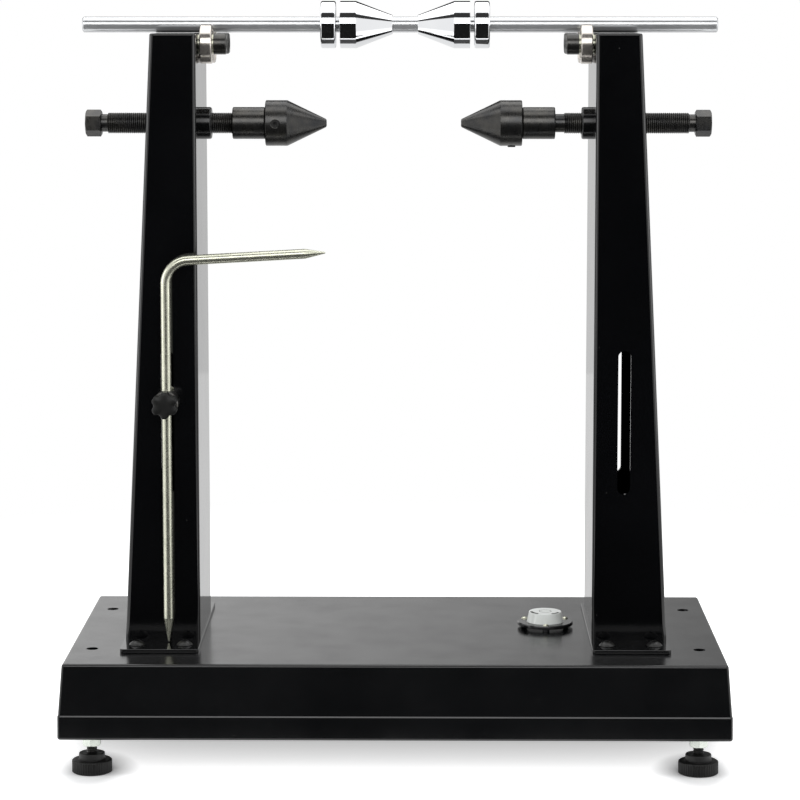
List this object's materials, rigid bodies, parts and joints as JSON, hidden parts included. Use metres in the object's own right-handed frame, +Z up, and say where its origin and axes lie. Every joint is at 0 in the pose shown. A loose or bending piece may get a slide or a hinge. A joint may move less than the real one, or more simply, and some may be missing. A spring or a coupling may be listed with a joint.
{
  "type": "wheel truing stand",
  "caption": "Bench stand for truing and balancing wheels: folded base on levelling feet, facing screw spindles with cones, a roller-borne balance shaft and a bent pointer rod.",
  "frame": {"origin": "on the floor under the middle of the stand, midway between the posts", "axes": "+Z up, +X to the right along the balance shaft, front towards -Y"},
  "size_m": [0.503, 0.262, 0.5736],
  "materials": {
    "painted_black": "gloss black powder coat over folded steel",
    "black_oxide": "black oxide on turned steel",
    "zinc": "bright zinc plate",
    "bearing_steel": "ground and polished bearing steel",
    "chrome": "polished hard chrome",
    "black_plastic": "black moulded nylon",
    "level_black": "glossy black moulding",
    "clear_acrylic": "clear acrylic",
    "level_liquid": "pale spirit with a bubble"
  },
  "bodies": {
    "stand": {"base_tray": "painted_black", "left_post": "painted_black", "right_post": "painted_black", "left_foot_plate": "painted_black", "right_foot_plate": "painted_black", "post_bolts": "black_oxide", "post_nuts": "zinc", "left_spindle_bush": "painted_black", "right_spindle_bush": "painted_black", "bearing_screws": "black_oxide", "bearing_strips": "painted_black", "bearing_spacers": "zinc", "bearing_washers": "zinc", "bearing_inner_rings": "bearing_steel", "bearing_balls": "bearing_steel", "level_flange": "level_black", "level_vial": "clear_acrylic", "level_fluid": "level_liquid", "level_screws": "zinc", "foot_lock_nuts": "zinc", "foot_weld_nuts": "zinc"},
    "shaft": {"balance_shaft": "chrome"},
    "left_cone_set": {"left_balance_cone": "chrome", "left_lock_collar": "chrome", "left_collar_screw": "black_oxide"},
    "right_cone_set": {"right_balance_cone": "chrome", "right_lock_collar": "chrome", "right_collar_screw": "black_oxide"},
    "left_front_bearing": {"left_front_outer_ring": "bearing_steel", "left_front_shields": "bearing_steel"},
    "left_rear_bearing": {"left_rear_outer_ring": "bearing_steel", "left_rear_shields": "bearing_steel"},
    "right_front_bearing": {"right_front_outer_ring": "bearing_steel", "right_front_shields": "bearing_steel"},
    "right_rear_bearing": {"right_rear_outer_ring": "bearing_steel", "right_rear_shields": "bearing_steel"},
    "left_slide": {"left_sleeve": "black_oxide"},
    "left_spindle": {"left_spindle_screw": "black_oxide"},
    "left_truing": {"left_truing_cone": "black_oxide", "left_cone_screw": "black_oxide"},
    "right_slide": {"right_sleeve": "black_oxide"},
    "right_spindle": {"right_spindle_screw": "black_oxide"},
    "right_truing": {"right_truing_cone": "black_oxide", "right_cone_screw": "black_oxide"},
    "pointer_carriage": {"clamp_stud": "zinc", "clamp_washer": "zinc", "clamp_nut": "zinc"},
    "pointer_clamp": {"clamp_body": "black_oxide"},
    "pointer": {"pointer_rod": "zinc"},
    "knob": {"clamp_knob": "black_plastic", "knob_screw": "zinc"},
    "front_left_foot": {"front_left_stud": "black_oxide"},
    "front_left_tread": {"front_left_pad": "black_plastic"},
    "front_right_foot": {"front_right_stud": "black_oxide"},
    "front_right_tread": {"front_right_pad": "black_plastic"},
    "rear_left_foot": {"rear_left_stud": "black_oxide"},
    "rear_left_tread": {"rear_left_pad": "black_plastic"},
    "rear_right_foot": {"rear_right_stud": "black_oxide"},
    "rear_right_tread": {"rear_right_pad": "black_plastic"}
  },
  "joints": [
    {"name": "shaft_spin", "type": "hinge", "parent": "stand", "child": "shaft", "pos_m": [0, 0, 0.5556], "axis": [1, 0, 0], "continuous": true},
    {"name": "left_cone_slide", "type": "slide", "parent": "shaft", "child": "left_cone_set", "axis": [1, 0, 0], "range_m": [-0.068, 0.009]},
    {"name": "right_cone_slide", "type": "slide", "parent": "shaft", "child": "right_cone_set", "axis": [1, 0, 0], "range_m": [-0.009, 0.055]},
    {"name": "left_front_bearing_spin", "type": "hinge", "parent": "stand", "child": "left_front_bearing", "pos_m": [-0.1445, -0.0154, 0.54106], "axis": [1, 0, 0], "continuous": true},
    {"name": "left_rear_bearing_spin", "type": "hinge", "parent": "stand", "child": "left_rear_bearing", "pos_m": [-0.1445, 0.0154, 0.54106], "axis": [1, 0, 0], "continuous": true},
    {"name": "right_front_bearing_spin", "type": "hinge", "parent": "stand", "child": "right_front_bearing", "pos_m": [0.1445, -0.0154, 0.54106], "axis": [1, 0, 0], "continuous": true},
    {"name": "right_rear_bearing_spin", "type": "hinge", "parent": "stand", "child": "right_rear_bearing", "pos_m": [0.1445, 0.0154, 0.54106], "axis": [1, 0, 0], "continuous": true},
    {"name": "left_spindle_travel", "type": "slide", "parent": "stand", "child": "left_slide", "axis": [1, 0, 0], "range_m": [-0.0155, 0.037]},
    {"name": "left_spindle_turn", "type": "hinge", "parent": "left_slide", "child": "left_spindle", "pos_m": [-0.2, 0, 0.4804], "axis": [1, 0, 0], "range_deg": [-3722, 8882]},
    {"name": "left_truing_spin", "type": "hinge", "parent": "left_slide", "child": "left_truing", "pos_m": [-0.09, 0, 0.4804], "axis": [1, 0, 0], "continuous": true},
    {"name": "right_spindle_travel", "type": "slide", "parent": "stand", "child": "right_slide", "axis": [1, 0, 0], "range_m": [-0.039, 0.0195]},
    {"name": "right_spindle_turn", "type": "hinge", "parent": "right_slide", "child": "right_spindle", "pos_m": [0.2, 0, 0.4804], "axis": [1, 0, 0], "range_deg": [-9362, 4682]},
    {"name": "right_truing_spin", "type": "hinge", "parent": "right_slide", "child": "right_truing", "pos_m": [0.09, 0, 0.4804], "axis": [1, 0, 0], "continuous": true},
    {"name": "pointer_height", "type": "slide", "parent": "stand", "child": "pointer_carriage", "axis": [0, 0, 1], "range_m": [0, 0.033]},
    {"name": "pointer_tilt", "type": "hinge", "parent": "pointer_carriage", "child": "pointer_clamp", "pos_m": [-0.1734, -0.0553, 0.272], "axis": [0, 1, 0], "range_deg": [-35, 35]},
    {"name": "pointer_swing", "type": "hinge", "parent": "pointer_clamp", "child": "pointer", "pos_m": [-0.1734, -0.0623, 0.272], "axis": [0, 0, 1], "range_deg": [-175, 0]},
    {"name": "knob_turn", "type": "hinge", "parent": "pointer_clamp", "child": "knob", "pos_m": [-0.1734, -0.0776, 0.272], "axis": [0, 1, 0], "range_deg": [-360, 360]},
    {"name": "front_left_foot_height", "type": "slide", "parent": "stand", "child": "front_left_foot", "axis": [0, 0, 1], "range_m": [-0.01, 0.005]},
    {"name": "front_left_foot_turn", "type": "hinge", "parent": "front_left_foot", "child": "front_left_tread", "pos_m": [-0.227, -0.116, 0.0075], "axis": [0, 0, 1], "range_deg": [-2882, 1442]},
    {"name": "front_right_foot_height", "type": "slide", "parent": "stand", "child": "front_right_foot", "axis": [0, 0, 1], "range_m": [-0.01, 0.005]},
    {"name": "front_right_foot_turn", "type": "hinge", "parent": "front_right_foot", "child": "front_right_tread", "pos_m": [0.227, -0.116, 0.0075], "axis": [0, 0, 1], "range_deg": [-2882, 1442]},
    {"name": "rear_left_foot_height", "type": "slide", "parent": "stand", "child": "rear_left_foot", "axis": [0, 0, 1], "range_m": [-0.01, 0.005]},
    {"name": "rear_left_foot_turn", "type": "hinge", "parent": "rear_left_foot", "child": "rear_left_tread", "pos_m": [-0.227, 0.116, 0.0075], "axis": [0, 0, 1], "range_deg": [-2882, 1442]},
    {"name": "rear_right_foot_height", "type": "slide", "parent": "stand", "child": "rear_right_foot", "axis": [0, 0, 1], "range_m": [-0.01, 0.005]},
    {"name": "rear_right_foot_turn", "type": "hinge", "parent": "rear_right_foot", "child": "rear_right_tread", "pos_m": [0.227, 0.116, 0.0075], "axis": [0, 0, 1], "range_deg": [-2882, 1442]}
  ],
  "couplings": [
    {"joint": "left_front_bearing_spin", "follows": "shaft_spin", "ratio": -0.4},
    {"joint": "left_rear_bearing_spin", "follows": "shaft_spin", "ratio": -0.4},
    {"joint": "right_front_bearing_spin", "follows": "shaft_spin", "ratio": -0.4},
    {"joint": "right_rear_bearing_spin", "follows": "shaft_spin", "ratio": -0.4},
    {"joint": "left_spindle_turn", "follows": "left_spindle_travel", "rad_per_m": 4188.8},
    {"joint": "right_spindle_turn", "follows": "right_spindle_travel", "rad_per_m": 4188.8},
    {"joint": "front_left_foot_turn", "follows": "front_left_foot_height", "rad_per_m": 5026.5},
    {"joint": "front_right_foot_turn", "follows": "front_right_foot_height", "rad_per_m": 5026.5},
    {"joint": "rear_left_foot_turn", "follows": "rear_left_foot_height", "rad_per_m": 5026.5},
    {"joint": "rear_right_foot_turn", "follows": "rear_right_foot_height", "rad_per_m": 5026.5}
  ]
}
